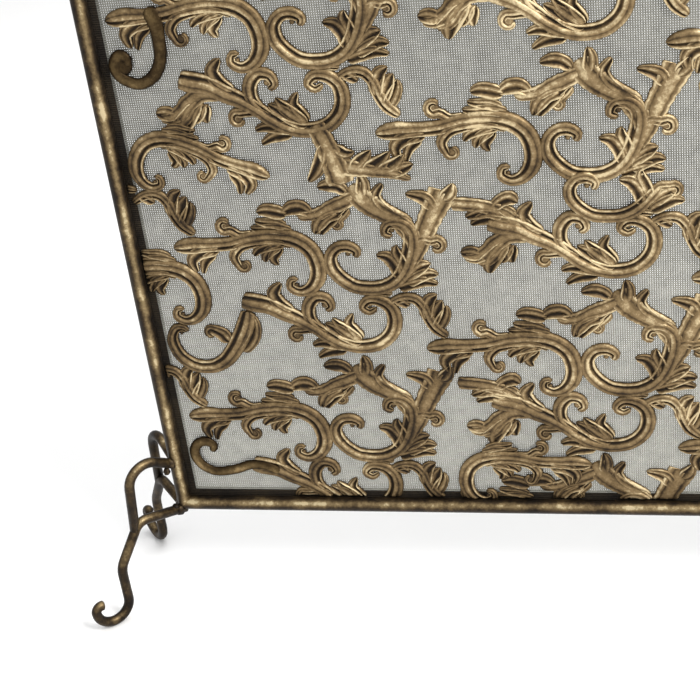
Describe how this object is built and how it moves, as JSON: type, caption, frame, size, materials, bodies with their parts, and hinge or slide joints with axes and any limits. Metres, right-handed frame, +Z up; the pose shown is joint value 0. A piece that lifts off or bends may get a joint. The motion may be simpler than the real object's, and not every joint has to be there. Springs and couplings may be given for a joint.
{
  "type": "fireplace screen",
  "caption": "Free-standing fireplace screen: a round-bar frame on splayed bent-rod feet holds wire mesh covered with antique-gold stamped leaf scrolls.",
  "frame": {"origin": "centre of the bounding box at floor level, under the middle of the frame", "axes": "+X along the screen to the viewer's right, -Y out of the front face into the room, +Z up"},
  "size_m": [1.1588, 0.1786, 0.832],
  "materials": {
    "frame_bronze": "satin dark bronze with rubbed gold highlights",
    "foot_bronze": "satin dark bronze with rubbed gold highlights",
    "strip_bronze": "matt dark bronze",
    "mesh_wire": "grey woven wire",
    "screw_steel": "plain",
    "scroll_gold": "antique gold rubbed over dark brown",
    "edge_bronze": "satin dark bronze"
  },
  "bodies": {
    "root": {"bottom_rail": "frame_bronze", "top_rail": "frame_bronze", "left_stile": "frame_bronze", "right_stile": "frame_bronze", "wire_mesh": "mesh_wire", "bottom_strip": "strip_bronze", "top_strip": "strip_bronze", "left_strip": "strip_bronze", "right_strip": "strip_bronze", "strip_screws": "screw_steel", "front_left_foot": "foot_bronze", "rear_left_foot": "foot_bronze", "front_right_foot": "foot_bronze", "rear_right_foot": "foot_bronze", "front_left_brace": "foot_bronze", "rear_left_brace": "foot_bronze", "front_right_brace": "foot_bronze", "rear_right_brace": "foot_bronze", "twin_scroll_1": "scroll_gold", "twin_scroll_2": "scroll_gold", "twin_scroll_3": "scroll_gold", "twin_scroll_4": "scroll_gold", "twin_scroll_5": "scroll_gold", "twin_scroll_6": "scroll_gold", "twin_scroll_7": "scroll_gold", "twin_scroll_8": "scroll_gold", "twin_scroll_9": "scroll_gold", "twin_scroll_10": "scroll_gold", "twin_scroll_11": "scroll_gold", "twin_scroll_12": "scroll_gold", "twin_scroll_13": "scroll_gold", "twin_scroll_14": "scroll_gold", "twin_scroll_15": "scroll_gold", "twin_scroll_16": "scroll_gold", "twin_scroll_17": "scroll_gold", "leaf_scroll_1": "scroll_gold", "leaf_scroll_2": "scroll_gold", "leaf_scroll_3": "scroll_gold", "leaf_scroll_4": "scroll_gold", "leaf_scroll_5": "scroll_gold", "leaf_scroll_6": "scroll_gold", "leaf_scroll_7": "scroll_gold", "leaf_scroll_8": "scroll_gold", "leaf_scroll_9": "scroll_gold", "leaf_scroll_10": "scroll_gold", "leaf_scroll_11": "scroll_gold", "leaf_scroll_12": "scroll_gold", "leaf_scroll_13": "scroll_gold", "leaf_scroll_14": "scroll_gold", "leaf_scroll_15": "scroll_gold", "half_scrolls": "scroll_gold", "bridge_sprays": "scroll_gold", "edge_hook": "edge_bronze", "edge_wave": "edge_bronze", "edge_crook": "scroll_gold", "edge_c_scroll": "scroll_gold", "edge_back_scroll": "scroll_gold", "bottom_back_scroll": "scroll_gold", "edge_offcuts": "scroll_gold"}
  },
  "joints": []
}
